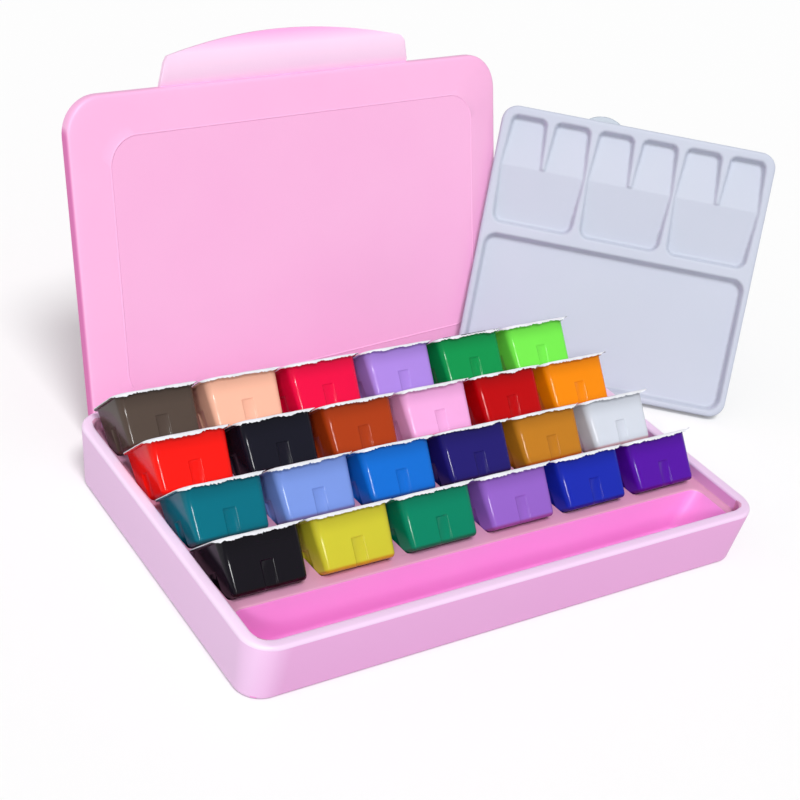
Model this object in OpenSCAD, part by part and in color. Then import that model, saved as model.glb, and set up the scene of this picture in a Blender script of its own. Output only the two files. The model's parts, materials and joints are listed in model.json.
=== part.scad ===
// Gouache paint set: a moulded tray with a brush trough and a bed of slanted nests,
// twenty-four sealed paint tubs that lean back in them, a shallow lid with a grip flap,
// and a mixing palette. Millimetres. The origin is the middle of the tray's base,
// +X to the right along a row of tubs, +Y from the trough to the back, +Z up.

/* [Tubs] */
// Number of tubs in a row
columns = 6; // [2:1:6]
// Number of rows of tubs
rows = 4; // [2:1:4]
// Width of a tub's body at its mouth
tub_w = 46.9; // [40:0.1:54]
// Depth of a tub's body at its mouth, front to back
tub_d = 37.9; // [34:0.1:42]
// Height of a tub from its base to the top of its flange
tub_h = 30; // [26:0.5:34]
// Amount by which each wall of a tub leans in from mouth to base
tub_draft = 2; // [1:0.1:3]
// Radius of a tub's upright corners at its mouth
tub_corner_r = 5.5; // [4:0.5:8]
// Height of the rounding where a tub's walls meet its base
tub_foot_r = 2.4; // [1:0.1:4]
// Thickness of a tub's walls and base
tub_wall = 1.1; // [0.8:0.1:1.6]
// Amount by which the flange stands out from a tub's walls
flange_w = 1.8; // [1:0.1:2.5]
// Thickness of the flange
flange_t = 1; // [0.6:0.1:1.5]
// Width of the keyway pressed into the foot of each wall
key_w = 7.6; // [5:0.2:11]
// Height of the keyway
key_h = 15; // [8:0.5:20]
// Depth of the keyway
key_depth = 0.7; // [0.3:0.1:0.8]
// Gap from the paint's surface to the foil seal
paint_headroom = 3; // [1.5:0.5:8]
// Thickness of the foil seal
seal_t = 0.35; // [0.2:0.05:0.6]
// Amount by which the foil stands out past the flange
seal_overhang = 0.6; // [0.2:0.1:1]
// Height of the waves along the torn edge of the foil
seal_wave = 0.3; // [0.1:0.05:0.4]

/* [Tub bed] */
// Angle by which the tubs lean back from upright
tub_lean = 44; // [38:0.2:44.2]
// Amount by which each row stands higher than the row in front
row_rise = 3.4; // [2:0.1:5]
// Running gap between a row's seals and the bases of the row behind
row_gap = 1.3; // [0.5:0.05:2]
// Gap between the flanges of neighbours in a row
column_gap = 3.4; // [2.2:0.1:6]
// Height of the front row's base edge above the bed
nose_lift = 5.7; // [5.6:0.1:7]
// Width of the land between the trough and the front row's base edge
front_land = 2.2; // [1:0.1:14]
// Clearance between a tub and its nest
nest_gap = 0.35; // [0.2:0.05:0.6]

/* [Tray] */
// Height of the tray
tray_h = 37.5; // [34:0.5:42]
// Width of the tray's rim
rim_w = 7; // [5:0.5:10]
// Radius of the tray's upright corners at the rim
tray_corner_r = 17; // [14:0.5:24]
// Amount by which the front and back walls lean in from rim to base
tray_draft = 5; // [2:0.5:7]
// Amount by which the end walls lean in from rim to base
side_draft = 2.5; // [1:0.5:7]
// Radius of the rounding on the outer edge of the rim
rim_round = 3; // [1.5:0.1:3.4]
// Radius of the rounding on the inner edge of the rim
mouth_round = 1.6; // [0.8:0.1:1.8]
// Radius of the rounding along the edge of the base
base_round = 2; // [1:0.1:3]
// Depth of the bed and its ledge below the rim
ledge_drop = 8.6; // [6:0.1:10]
// Gap from the left-hand tubs to the rim
left_gap = 3.9; // [2.6:0.1:8]
// Gap from the right-hand tubs to the rim
right_gap = 4.2; // [4:0.1:14]
// Gap from the last row's rear walls to the rim, at the height of the rim
rear_gap = 2.5; // [1.5:0.1:8]

/* [Brush trough] */
// Width of the trough at the bed, front to back
trough_w = 33; // [20:0.5:36]
// Thickness of the floor under the trough
trough_floor = 3; // [2:0.5:8]
// Width of the ledge in front of the trough
trough_ledge = 2; // [2:0.5:6]
// Gap from the trough's left end to the rim
trough_left_gap = 2; // [2:0.5:12]
// Gap from the trough's right end to the rim
trough_right_gap = 4.5; // [2:0.5:12]
// Radius of the trough's upright corners
trough_corner_r = 7; // [4:0.5:9]
// Amount by which the trough's walls lean in towards its floor
trough_draft = 1.2; // [0.5:0.1:2]

/* [Lid] */
// Clearance all round between the lid and the inside of the rim
lid_gap = 0.5; // [0.3:0.1:1]
// Wall of the lid
lid_wall = 1.8; // [1.2:0.1:2.4]
// Extra radius of the lid's corners over the rim's inner corners
lid_corner_ease = 13; // [0:0.5:14]
// Radius of the panel's corners
panel_corner_r = 18; // [12:0.5:20]
// Height of the lid's upright side band
lid_band = 5.5; // [4:0.5:8]
// Height of the lid's flat panel above its open edge
panel_h = 9; // [7.5:0.5:14]
// Width of the sloping border round the panel
border_w = 25; // [18:0.5:30]
// Width of the raised bead that frames the panel
bead_w = 1.2; // [0.8:0.1:2]
// Height of that bead
bead_h = 0.35; // [0.2:0.05:0.6]
// Width of the grip flap where it leaves the lid
flap_w = 185; // [120:1:220]
// Reach of the flap past the lid's edge at its middle
flap_reach = 27; // [20:0.5:32]
// Reach of the flap at its two shoulders
flap_shoulder = 16; // [10:0.5:18]
// Radius of the flap's curl, seen from its end
flap_curl_r = 26; // [22:0.5:34]
// Sideways place of the flap from the lid's middle line
flap_x = -5; // [-20:1:20]
// Thickness of the flap
flap_t = 2.4; // [1.6:0.1:3]
// Angle by which the stood-up lid leans back from upright
lid_lean = 16.6; // [12:0.2:20]
// Turn of the stood-up lid about the vertical
lid_turn = 6; // [2:0.2:8]
// Gap on the table between the tray's back wall and the foot of the lid
lid_stand_gap = 32.6; // [30:0.2:80]
// Sideways place of the lid's foot, from the tray's middle line
lid_stand_x = 11.6; // [-20:0.1:13]

/* [Palette] */
// Length of the palette from its bays to its mixing area's end
palette_l = 184.6; // [170:0.2:190]
// Height of the palette
palette_h = 8; // [7.5:0.5:9]
// Room on each side between the palette and the lid's outline
palette_gap = 8.5; // [6:0.5:10]
// Thickness of the palette's moulded sheet
sheet_t = 1.5; // [1:0.1:2]
// Radius of the palette's corners
palette_corner_r = 11; // [8:0.5:16]
// Width of the flat border at the palette's sides and below its mixing area
palette_border = 4; // [3.5:0.5:7]
// Width of the flat border above the bays
bay_border = 6; // [4:0.5:9]
// Width of the flat strip between the wells and the mixing area
mix_strip = 6.6; // [4:0.2:9]
// Depth of the wells and the mixing area
well_depth = 5.5; // [4:0.5:6]
// Depth of a bay at its shallow end
bay_start_depth = 1.8; // [1:0.1:3]
// Length of the ramped bays
bay_l = 35; // [30:1:40]
// Length of the wells that the bays run into
well_l = 40.2; // [34:0.2:44]
// Amount by which the walls of the wells lean in towards their floors
well_draft = 1.8; // [1:0.1:2.2]
// Width of the ribs between bays at the border
rib_w = 8.6; // [5:0.2:10]
// Width of the ribs where they are narrowest, at the bays' lower end
rib_min_w = 1.8; // [1.6:0.1:4]
// Radius of the thumb tab
tab_r = 19.5; // [15:0.5:24]
// Reach of the thumb tab past the palette's edge
tab_reach = 4; // [3:0.5:6]
// Sideways place of the thumb tab from the palette's middle line
tab_x = -25; // [-45:1:45]
// Angle by which the stood-up palette leans back from upright
palette_lean = 25.5; // [24:0.5:34]
// Turn of the stood-up palette about the vertical
palette_turn = -39.6; // [-46:0.1:-38]
// Gap along X from the tray's side to the middle of the palette's foot
palette_stand_x = 30.5; // [28:0.5:60]
// Distance along Y from the tray's back to the middle of the palette's foot
palette_stand_y = -28.7; // [-34:0.1:-24]

/* [Hidden] */
// Name and colour of each paint, from the front row's left end to the back row's right end
PAINTS = [
    ["black", [0.07, 0.06, 0.09]], ["lemon", [0.86, 0.82, 0.16]],
    ["emerald", [0.02, 0.55, 0.36]], ["amethyst", [0.56, 0.38, 0.76]],
    ["ultramarine", [0.09, 0.16, 0.66]], ["violet", [0.32, 0.06, 0.62]],
    ["teal", [0.00, 0.48, 0.50]], ["periwinkle", [0.47, 0.58, 0.86]],
    ["azure", [0.06, 0.42, 0.80]], ["indigo", [0.13, 0.10, 0.42]],
    ["ochre", [0.77, 0.53, 0.18]], ["white", [0.88, 0.89, 0.91]],
    ["scarlet", [0.95, 0.09, 0.06]], ["ink", [0.08, 0.08, 0.13]],
    ["rust", [0.66, 0.23, 0.07]], ["rose", [0.93, 0.56, 0.80]],
    ["madder", [0.76, 0.02, 0.05]], ["orange", [1.00, 0.58, 0.05]],
    ["umber", [0.32, 0.27, 0.24]], ["peach", [0.95, 0.72, 0.62]],
    ["crimson", [0.84, 0.04, 0.20]], ["lavender", [0.66, 0.52, 0.86]],
    ["leaf", [0.04, 0.56, 0.29]], ["lime", [0.45, 0.89, 0.30]]
];
tub_count = rows * columns;
tub_names = [for (i = [0 : tub_count - 1]) PAINTS[i][0]];

pink = [0.96, 0.62, 0.86];
deep_pink = [0.97, 0.52, 0.82];
palette_white = [0.90, 0.92, 0.97];
foil_white = [0.93, 0.94, 0.95];

// A cut's overshoot past the surface that it opens
cut = 1;
// Steps in each corner's arc: large mouldings, small ones
wide_steps = 7;
fine_steps = 3;

// The tub bed, worked out from the tubs
base_w = tub_w - 2 * tub_draft;
base_d = tub_d - 2 * tub_draft;
pitch_x = tub_w + 2 * flange_w + column_gap;
pitch_y = (tub_h + seal_t + row_gap - row_rise * cos(tub_lean)) / sin(tub_lean);
bed_z = tray_h - ledge_drop;
trough_back = rim_w + trough_ledge + trough_w;
// The front row's lower front edge, from the tray's front face and its base
nose_y = trough_back + front_land;
nose_z = bed_z + nose_lift;
// The last row's lower rear edge, and where its rear wall passes the height of the rim
heel_y = nose_y + (rows - 1) * pitch_y + base_d * cos(tub_lean);
heel_z = nose_z + (rows - 1) * row_rise - base_d * sin(tub_lean);
rear_wall_slope = tan(tub_lean + atan(tub_draft / tub_h));
rear_wall_y = heel_y + (tray_h - heel_z) * rear_wall_slope;

// The tray round the bed
tray_w = 2 * rim_w + left_gap + tub_w + (columns - 1) * pitch_x + right_gap;
tray_d = rear_wall_y + rear_gap + rim_w;
mouth_w = tray_w - 2 * rim_w;
mouth_d = tray_d - 2 * rim_w;
mouth_corner_r = tray_corner_r - rim_w;
trough_l = mouth_w - trough_left_gap - trough_right_gap;
trough_x = (trough_left_gap - trough_right_gap) / 2;
trough_y = trough_back - trough_w / 2 - tray_d / 2;
first_x = -tray_w / 2 + rim_w + left_gap + tub_w / 2;
first_y = nose_y + base_d / 2 * cos(tub_lean) - tray_d / 2;
first_z = nose_z - base_d / 2 * sin(tub_lean);
// Height up a tub to which its nest is cut
nest_h = tub_h - flange_t - 1.5;

// The lid and the palette
lid_w = mouth_w - 2 * lid_gap;
lid_d = mouth_d - 2 * lid_gap;
lid_corner_r = mouth_corner_r - lid_gap + lid_corner_ease;
lid_y = tray_d / 2 + lid_stand_gap;
palette_w = lid_d - 2 * palette_gap;
palette_x = tray_w / 2 + palette_stand_x;
palette_y = tray_d / 2 + palette_stand_y;
field_w = palette_w - 2 * palette_border;
bay_pitch = field_w / 6;
bay_top = palette_l - bay_border;
bay_end = bay_top - bay_l;
well_end = bay_end - well_l;
mix_top = well_end - mix_strip;

// A rounded rectangle's outline, anticlockwise
function ring(w, d, r, steps) =
    [for (q = [0 : 3], i = [0 : steps])
        let (a = 90 * (q + i / steps),
             sx = (q == 0 || q == 3) ? 1 : -1,
             sy = (q < 2) ? 1 : -1)
        [sx * (w / 2 - r) + r * cos(a), sy * (d / 2 - r) + r * sin(a)]];

// A closed solid through rings of equal point counts, each [outline, height],
// from the lowest to the highest; a height is a number or a list for each point
module skin(rings) {
    m = len(rings[0][0]);
    last = len(rings) - 1;
    points = [for (s = rings, i = [0 : m - 1])
        [s[0][i][0], s[0][i][1], is_list(s[1]) ? s[1][i] : s[1]]];
    sides = [for (k = [0 : last - 1], i = [0 : m - 1])
        let (j = (i + 1) % m)
        [k * m + i, (k + 1) * m + i, (k + 1) * m + j, k * m + j]];
    base = [for (i = [0 : m - 1]) i];
    top = [for (i = [m - 1 : -1 : 0]) last * m + i];
    polyhedron(points, concat([base], sides, [top]), convexity = 6);
}

// A stack of rounded rectangles, each [height, inset], inside the outline w by d
module stack(levels, w, d, r, steps) {
    skin([for (s = levels)
        [ring(w - 2 * s[1], d - 2 * s[1], max(r - s[1], 0.6), steps), s[0]]]);
}

// Inset of a wall that leans in by draft over the height h, at the height z
function lean_in(z, h, draft) = draft * (1 - z / h);

// ---------- Tray ----------
module tray_body() {
    round_in = [for (a = [0 : 30 : 90])
        let (inset = rim_round * (1 - cos(a)))
        [tray_h - rim_round * (1 - sin(a)), inset, inset]];
    foot = [for (a = [0 : 45 : 90])
        let (inset = base_round * (1 - sin(a)))
        [base_round * (1 - cos(a)), side_draft + inset, tray_draft + inset]];
    skin([for (s = concat(foot, round_in))
        [ring(tray_w - 2 * s[1], tray_d - 2 * s[2], tray_corner_r - s[1], wide_steps), s[0]]]);
}

// The space above the bed, with the rounding along the rim's inner edge
module tray_mouth() {
    flare = [for (a = [0 : 45 : 90])
        [tray_h - mouth_round * (1 - sin(a)), -mouth_round * (1 - cos(a))]];
    stack(concat([[bed_z, 0]], flare, [[tray_h + cut, -mouth_round]]),
          mouth_w, mouth_d, mouth_corner_r, wide_steps);
}

module brush_trough() {
    depth = bed_z - trough_floor;
    floor_round = trough_draft + 1.5;
    translate([trough_x, trough_y, trough_floor])
        stack([[0, floor_round], [0.6, trough_draft + 0.5], [2, trough_draft],
               [depth, 0], [depth + cut, 0]],
              trough_l, trough_w, trough_corner_r, fine_steps + 1);
}

// The seat's own frame: the middle of a tub's base, leaning back with the tub
module at_seat(i) {
    column = i % columns;
    row = floor(i / columns);
    translate([first_x + column * pitch_x, first_y + row * pitch_y, first_z + row * row_rise])
        rotate([-tub_lean, 0, 0])
            children();
}

// Room for a tub's foot, with the clearance all round
module nest() {
    top_inset = lean_in(nest_h, tub_h, tub_draft);
    stack([[-nest_gap, tub_draft + tub_foot_r * 0.4 - nest_gap],
           [tub_foot_r * 0.6, tub_draft - nest_gap], [nest_h, top_inset - nest_gap]],
          tub_w, tub_d, tub_corner_r, fine_steps);
}

module tray() {
    color(pink)
        difference() {
            tray_body();
            tray_mouth();
            brush_trough();
            for (i = [0 : tub_count - 1])
                at_seat(i)
                    nest();
        }
}

// ---------- Tubs ----------
module tub_outside() {
    wall_top = tub_h - flange_t;
    stack([[0, tub_draft + tub_foot_r * 0.8],
           [tub_foot_r * 0.3, lean_in(tub_foot_r * 0.3, tub_h, tub_draft) + tub_foot_r * 0.3],
           [tub_foot_r, lean_in(tub_foot_r, tub_h, tub_draft)],
           [wall_top, lean_in(wall_top, tub_h, tub_draft)],
           [wall_top, -flange_w], [tub_h, -flange_w]],
          tub_w, tub_d, tub_corner_r, fine_steps);
}

// The room inside a tub between two heights, drawn in by a further inset
module tub_room(low, high, inset) {
    stack([[low, lean_in(low, tub_h, tub_draft) + tub_wall + inset + 0.8],
           [low + 1.2, lean_in(low + 1.2, tub_h, tub_draft) + tub_wall + inset],
           [high, lean_in(high, tub_h, tub_draft) + tub_wall + inset]],
          tub_w, tub_d, tub_corner_r, fine_steps);
}

// The keyway in the foot of one wall, that stands at the distance half from the middle
module keyway(half) {
    tilt = atan(tub_draft / tub_h);
    translate([0, half - tub_draft, 0])
        rotate([-tilt, 0, 0])
            translate([-key_w / 2, -key_depth, -cut])
                cube([key_w, key_depth + cut, key_h + cut]);
}

module tub_shell() {
    difference() {
        tub_outside();
        tub_room(tub_wall, tub_h + cut, 0);
        for (turn = [0, 180]) {
            rotate([0, 0, turn])
                keyway(tub_d / 2);
            rotate([0, 0, turn + 90])
                keyway(tub_w / 2);
        }
    }
}

// The paint, a little clear of the walls
module paint() {
    clear = 0.1;
    tub_room(tub_wall + clear, tub_h - paint_headroom, clear);
}

module tub(i) {
    color(PAINTS[i][1])
        at_seat(i) {
            tub_shell();
            paint();
        }
}

// ---------- Foil seals ----------
// The torn outline: a rounded rectangle with small waves that differ from tub to tub
function seal_outline(i) =
    let (out = flange_w + seal_overhang,
         edge = ring(tub_w + 2 * out, tub_d + 2 * out, tub_corner_r + out, 12))
    [for (k = [0 : len(edge) - 1])
        let (wave = seal_wave * sin(k * (97 + 11 * (i % 5)) + 40 * i),
             reach = norm(edge[k]))
        edge[k] * (1 + wave / reach)];

module seal(i) {
    color(foil_white)
        at_seat(i)
            translate([0, 0, tub_h])
                linear_extrude(height = seal_t)
                    polygon(seal_outline(i));
}

// ---------- Lid ----------
// Levels from the lid's open edge up to its panel, drawn in by a wall's thickness
function lid_levels(wall) =
    let (top = panel_h - wall, shoulder = lid_band - wall)
    [[wall > 0 ? -cut : 0, wall], [shoulder, wall + 0.4], [shoulder + 0.9, wall + 1.2],
     [shoulder + 1.2, wall + 2.6], [top, border_w - bead_w]];

// The bead that frames the panel, standing on the panel's own level
function bead_levels() =
    [[panel_h + bead_h, border_w - bead_w * 0.7], [panel_h + bead_h, border_w - bead_w * 0.3],
     [panel_h, border_w]];

// Radius of the lid's corners, from its edge in to the panel
function lid_radius(inset) =
    lid_corner_r + (panel_corner_r - lid_corner_r) * inset / border_w;

module lid_stack(levels) {
    skin([for (s = levels)
        [ring(lid_w - 2 * s[1], lid_d - 2 * s[1], lid_radius(s[1]), wide_steps), s[0]]]);
}

module lid_shell() {
    difference() {
        lid_stack(concat(lid_levels(0), bead_levels()));
        lid_stack(lid_levels(lid_wall));
    }
}

// The flap's outline on the lid's plane: square shoulders under a shallow arch
module flap_outline() {
    rise = flap_reach - flap_shoulder;
    half = flap_w / 2 - 5;
    arch_r = (half * half + rise * rise) / (2 * rise);
    intersection() {
        translate([0, lid_d / 2 + flap_reach - arch_r])
            circle(r = arch_r, $fn = 180);
        translate([-flap_w / 2, lid_d / 2 - lid_wall / 2])
            square([flap_w, flap_reach + lid_wall]);
        hull() {
            for (side = [-1, 1]) {
                translate([side * (half - 4), lid_d / 2 + flap_shoulder - 8])
                    circle(r = 9, $fn = 32);
                translate([side * (flap_w / 2 - 2), lid_d / 2 - 6])
                    circle(r = 2, $fn = 32);
            }
            translate([0, lid_d / 2 + flap_reach])
                circle(r = 2, $fn = 32);
        }
    }
}

module grip_flap() {
    mid = lid_d / 2 + flap_reach * 0.42;
    crest = lid_band - 1;
    intersection() {
        translate([flap_x, 0, -flap_curl_r])
            linear_extrude(height = 2 * flap_curl_r)
                flap_outline();
        translate([flap_x - flap_w / 2, mid, crest - flap_curl_r])
            rotate([90, 0, 90])
                linear_extrude(height = flap_w)
                    difference() {
                        circle(r = flap_curl_r, $fn = 96);
                        circle(r = flap_curl_r - flap_t, $fn = 96);
                        translate([-flap_curl_r - cut, -flap_curl_r - cut])
                            square([2 * flap_curl_r + 2 * cut, flap_curl_r + 2 * cut]);
                    }
    }
}

// Stands a piece that lies face up on the table on its front edge and leans it back
module stand(x, y, turn, lean, depth) {
    translate([x, y, 0])
        rotate([0, 0, turn])
            rotate([90 - lean, 0, 0])
                translate([0, depth / 2, 0])
                    children();
}

module lid() {
    color(pink)
        stand(lid_stand_x, lid_y, lid_turn, lid_lean, lid_d) {
            union() {
                lid_shell();
                grip_flap();
            }
        }
}

// ---------- Palette ----------
// Outline of a bay, from its rounded shallow end to its open end, moved out by out
function bay_outline(out) =
    let (top_half = (bay_pitch - rib_w) / 2 + out, end_half = (bay_pitch - rib_min_w) / 2 + out,
         r = 5, cy = bay_top - r + out)
    concat([[end_half, bay_end - 1]],
           [for (i = [0 : fine_steps]) let (a = 90 * i / fine_steps)
               [top_half - r + r * cos(a), cy + r * sin(a)]],
           [for (i = [0 : fine_steps]) let (a = 90 + 90 * i / fine_steps)
               [r - top_half + r * cos(a), cy + r * sin(a)]],
           [[-end_half, bay_end - 1]]);

// Height of a bay's ramped floor at the distance y along the palette
function ramp(y) =
    palette_h - bay_start_depth
    - (well_depth - bay_start_depth) * (bay_top - y) / (bay_top - bay_end);

// A bay's recess, or with skin over zero the moulded wall round it
module bay(wall) {
    floor_ring = bay_outline(wall - well_draft);
    skin([[floor_ring, [for (p = floor_ring) ramp(p[1]) - wall]],
          [bay_outline(wall), wall > 0 ? palette_h - sheet_t / 2 : palette_h + cut]]);
}

// Outline of a well that two bays run into; its ribs widen towards its closed end
function well_outline(out) =
    let (top_half = bay_pitch - rib_min_w / 2 + out, end_half = bay_pitch - rib_w / 2 + out,
         r = 7, cy = well_end + r - out)
    concat([[top_half, bay_end]],
           [[-top_half, bay_end]],
           [for (i = [0 : fine_steps]) let (a = 180 + 90 * i / fine_steps)
               [r - end_half + r * cos(a), cy + r * sin(a)]],
           [for (i = [0 : fine_steps]) let (a = 270 + 90 * i / fine_steps)
               [end_half - r + r * cos(a), cy + r * sin(a)]]);

module well(wall) {
    skin([[well_outline(wall - well_draft), palette_h - well_depth - wall],
          [well_outline(wall), wall > 0 ? palette_h - sheet_t / 2 : palette_h + cut]]);
}

module mixing_area(wall) {
    length = mix_top - palette_border;
    top = wall > 0 ? palette_h - sheet_t / 2 : palette_h + cut;
    translate([0, palette_border + length / 2, 0])
        stack([[palette_h - well_depth - wall, well_draft - wall], [top, -wall]],
              field_w, length, palette_corner_r - 3, fine_steps + 1);
}

module all_wells(wall) {
    for (side = [-5 : 2 : 5])
        translate([side * bay_pitch / 2, 0, 0])
            bay(wall);
    for (side = [-1 : 1])
        translate([side * 2 * bay_pitch, 0, 0])
            well(wall);
    mixing_area(wall);
}

module palette_sheet() {
    edge_round = 1.6;
    translate([0, palette_l / 2, 0])
        difference() {
            stack([[0, 0], [palette_h - edge_round, edge_round / 2],
                   [palette_h - edge_round * 0.3, edge_round * 0.8], [palette_h, edge_round * 1.5]],
                  palette_w, palette_l, palette_corner_r, wide_steps);
            stack([[-cut, sheet_t], [palette_h - sheet_t, sheet_t + edge_round / 2]],
                  palette_w, palette_l, palette_corner_r, wide_steps);
        }
}

module thumb_tab() {
    difference() {
        translate([tab_x, palette_l + tab_reach - tab_r, 0])
            cylinder(h = sheet_t, r = tab_r, $fn = 64);
        translate([-palette_w / 2, 0, -cut])
            cube([palette_w, palette_l - sheet_t / 2, sheet_t + 2 * cut]);
    }
}

module palette() {
    color(palette_white)
        stand(palette_x, palette_y, palette_turn, palette_lean, 0)
            difference() {
                union() {
                    palette_sheet();
                    all_wells(sheet_t);
                    thumb_tab();
                }
                all_wells(0);
            }
}

tray();
lid();
palette();
for (i = [0 : tub_count - 1]) {
    tub(i);
    seal(i);
}
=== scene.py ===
import json
import math

import bmesh
import bpy
from mathutils import Matrix, Vector, noise


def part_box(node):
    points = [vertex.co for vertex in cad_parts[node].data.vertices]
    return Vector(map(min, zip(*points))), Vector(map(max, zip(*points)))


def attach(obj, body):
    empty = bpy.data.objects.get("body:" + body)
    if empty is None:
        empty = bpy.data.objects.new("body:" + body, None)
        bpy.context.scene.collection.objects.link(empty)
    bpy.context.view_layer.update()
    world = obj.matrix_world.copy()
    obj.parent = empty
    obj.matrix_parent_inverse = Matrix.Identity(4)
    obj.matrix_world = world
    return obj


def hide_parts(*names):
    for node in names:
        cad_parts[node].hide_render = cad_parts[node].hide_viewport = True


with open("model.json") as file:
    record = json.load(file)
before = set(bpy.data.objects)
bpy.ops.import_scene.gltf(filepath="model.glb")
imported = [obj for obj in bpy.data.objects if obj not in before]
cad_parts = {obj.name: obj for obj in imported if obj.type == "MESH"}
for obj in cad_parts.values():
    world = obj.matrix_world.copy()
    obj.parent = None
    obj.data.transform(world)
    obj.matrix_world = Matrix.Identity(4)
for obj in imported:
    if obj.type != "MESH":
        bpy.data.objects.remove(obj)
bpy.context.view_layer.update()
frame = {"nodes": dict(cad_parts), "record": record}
MM = 0.001

# ---------- Sizes: the solid parts' own, but with slightly deeper keyways ----------
COLUMNS, ROWS = 6, 4
# A tub at its mouth, its height, and how its walls and foot are shaped
TUB_W, TUB_D, TUB_H = 46.9, 37.9, 30.0
TUB_DRAFT, TUB_CORNER, TUB_FOOT, TUB_WALL = 2.0, 5.5, 2.4, 1.1
FLANGE_W, FLANGE_T = 1.8, 1.0
KEY_W, KEY_H, KEY_DEPTH, KEY_SIDE = 7.6, 15.0, 0.9, 1.0
# The tubs' lean and spacing, and the middle of the first one's base
LEAN = math.radians(44)
PITCH_X, PITCH_Y, ROW_RISE = 53.9, 42.041, 3.4
FIRST = Vector((-134.9, -54.676, 22.826))
# The clearance round a tub in its nest, and how far up the tub the nest is pressed
NEST_GAP, NEST_H = 0.35, 27.5
TRAY_W, TRAY_D, TRAY_H = 338.5, 222.138, 37.5
TRAY_CORNER, TRAY_DRAFT, SIDE_DRAFT, RIM_W, BED_Z = 17.0, 5.0, 2.5, 7.0, 28.9
# The trough, the place of its middle, and the long slope at its right-hand end
TROUGH_L, TROUGH_W, TROUGH_CORNER, TROUGH_DRAFT, TROUGH_FLOOR = 318.0, 33.0, 7.0, 1.2, 3.0
TROUGH_AT, END_SLOPE = (-1.25, -85.569), 14.0
# The roundings of the tray: its foot, rim, bed and trough
FOOT_R, RIM_R, LIP_R, FILLET_R, TROUGH_LIP_R, TROUGH_R = 2.0, 2.0, 1.6, 1.2, 1.1, 2.6
LID_W, LID_D, LID_CORNER, PANEL_CORNER, BORDER_W = 323.5, 207.138, 22.5, 18.0, 25.0
PALETTE_W, PALETTE_L, PALETTE_H = 190.138, 184.6, 8.0
SEAL_T = 0.35
PAINT_NAMES = [n[4:] for n in frame["nodes"] if n.startswith("tub_")]


# ---------- Places ----------
def seat(index):
    """The middle of a tub's base, leaning back with the tub."""
    column, row = index % COLUMNS, index // COLUMNS
    at = FIRST + Vector((column * PITCH_X, row * PITCH_Y, row * ROW_RISE))
    return Matrix.Translation(at * MM) @ Matrix.Rotation(-LEAN, 4, "X")


def stood_up(x, y, turn, lean, shift):
    """A piece stood on its front edge on the table, leaning back."""
    return (Matrix.Translation(Vector((x, y, 0)) * MM)
            @ Matrix.Rotation(math.radians(turn), 4, "Z")
            @ Matrix.Rotation(math.radians(90 - lean), 4, "X")
            @ Matrix.Translation(Vector((0, shift * MM, 0))))


LID_PLACE = stood_up(x=11.6, y=143.669, turn=6, lean=16.6, shift=LID_D / 2)
PALETTE_PLACE = stood_up(x=199.75, y=82.369, turn=-39.6, lean=25.5, shift=0)

# ---------- Camera ----------
CAMERA_AT = (-0.46959, -0.57246, 0.51012)
CAMERA_TURN, CAMERA_DROP, CAMERA_ROLL = 0.66043, 0.52989, -0.1808
FOCAL_PX, FRAME_PX, SENSOR = 1514.84, 800, 36


def set_camera():
    across = math.cos(CAMERA_DROP)
    forward = Vector((math.sin(CAMERA_TURN) * across, math.cos(CAMERA_TURN) * across,
                      -math.sin(CAMERA_DROP)))
    level = forward.cross(Vector((0, 0, 1))).normalized()
    down = forward.cross(level)
    right = level * math.cos(CAMERA_ROLL) + down * math.sin(CAMERA_ROLL)
    below = down * math.cos(CAMERA_ROLL) - level * math.sin(CAMERA_ROLL)
    camera = bpy.data.objects.new("camera", bpy.data.cameras.new("camera"))
    camera.data.lens = FOCAL_PX * SENSOR / FRAME_PX
    camera.data.sensor_width = SENSOR
    camera.data.clip_start, camera.data.clip_end = 0.01, 20
    turned = Matrix((right, -below, -forward)).transposed().to_4x4()
    camera.matrix_world = Matrix.Translation(CAMERA_AT) @ turned
    bpy.context.scene.collection.objects.link(camera)
    bpy.context.scene.camera = camera


set_camera()


# ---------- Mesh making ----------
def quarter_turn(steps):
    return [math.pi / 2 * i / steps for i in range(steps + 1)]


def rounded(w, d, r, steps):
    """A rounded rectangle's outline, anticlockwise from the right-hand side."""
    points = []
    for quarter, (sx, sy) in enumerate(((1, 1), (-1, 1), (-1, -1), (1, -1))):
        for i in range(steps + 1):
            a = math.pi / 2 * (quarter + i / steps)
            points.append((sx * (w / 2 - r) + r * math.cos(a), sy * (d / 2 - r) + r * math.sin(a)))
    return points


def stack_outlines(levels, w, d, r, steps):
    """Outlines for a stack of rounded rectangles, each level (height, inset)."""
    tightest = 0.3
    outlines = []
    for z, inset in levels:
        ring = rounded(w - 2 * inset, d - 2 * inset, max(r - inset, tightest), steps)
        outlines.append([(x, y, z) for x, y in ring])
    return outlines


def wall_onto_flat(z, inset, r, steps, up=1):
    """Levels of a rounding from a wall onto the flat at z, with the wall over it (up 1) or under it."""
    return [(z + up * r * (1 - math.sin(a)), inset + r * (1 - math.cos(a))) for a in quarter_turn(steps)]


def flat_onto_wall(z, inset, r, steps, up=-1, out=-1):
    """Levels of a rounding from the flat at z onto a wall at inset."""
    return [(z + up * r * (1 - math.cos(a)), inset + out * r * (1 - math.sin(a)))
            for a in quarter_turn(steps)]


def join_rings(mesh, a, b):
    for i in range(len(a)):
        j = (i + 1) % len(a)
        mesh.faces.new((a[i], a[j], b[j], b[i]))


def loft(mesh, outlines, move=Matrix.Identity(4), inward=False):
    """Skins the outlines in turn and gives back each one's vertices."""
    loops = [[mesh.verts.new(move @ (Vector(p) * MM)) for p in outline] for outline in outlines]
    for low, high in zip(loops, loops[1:]):
        if inward:
            join_rings(mesh, high, low)
        else:
            join_rings(mesh, low, high)
    return loops


def cap(mesh, loop, up):
    mesh.faces.new(loop if up else loop[::-1])


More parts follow.
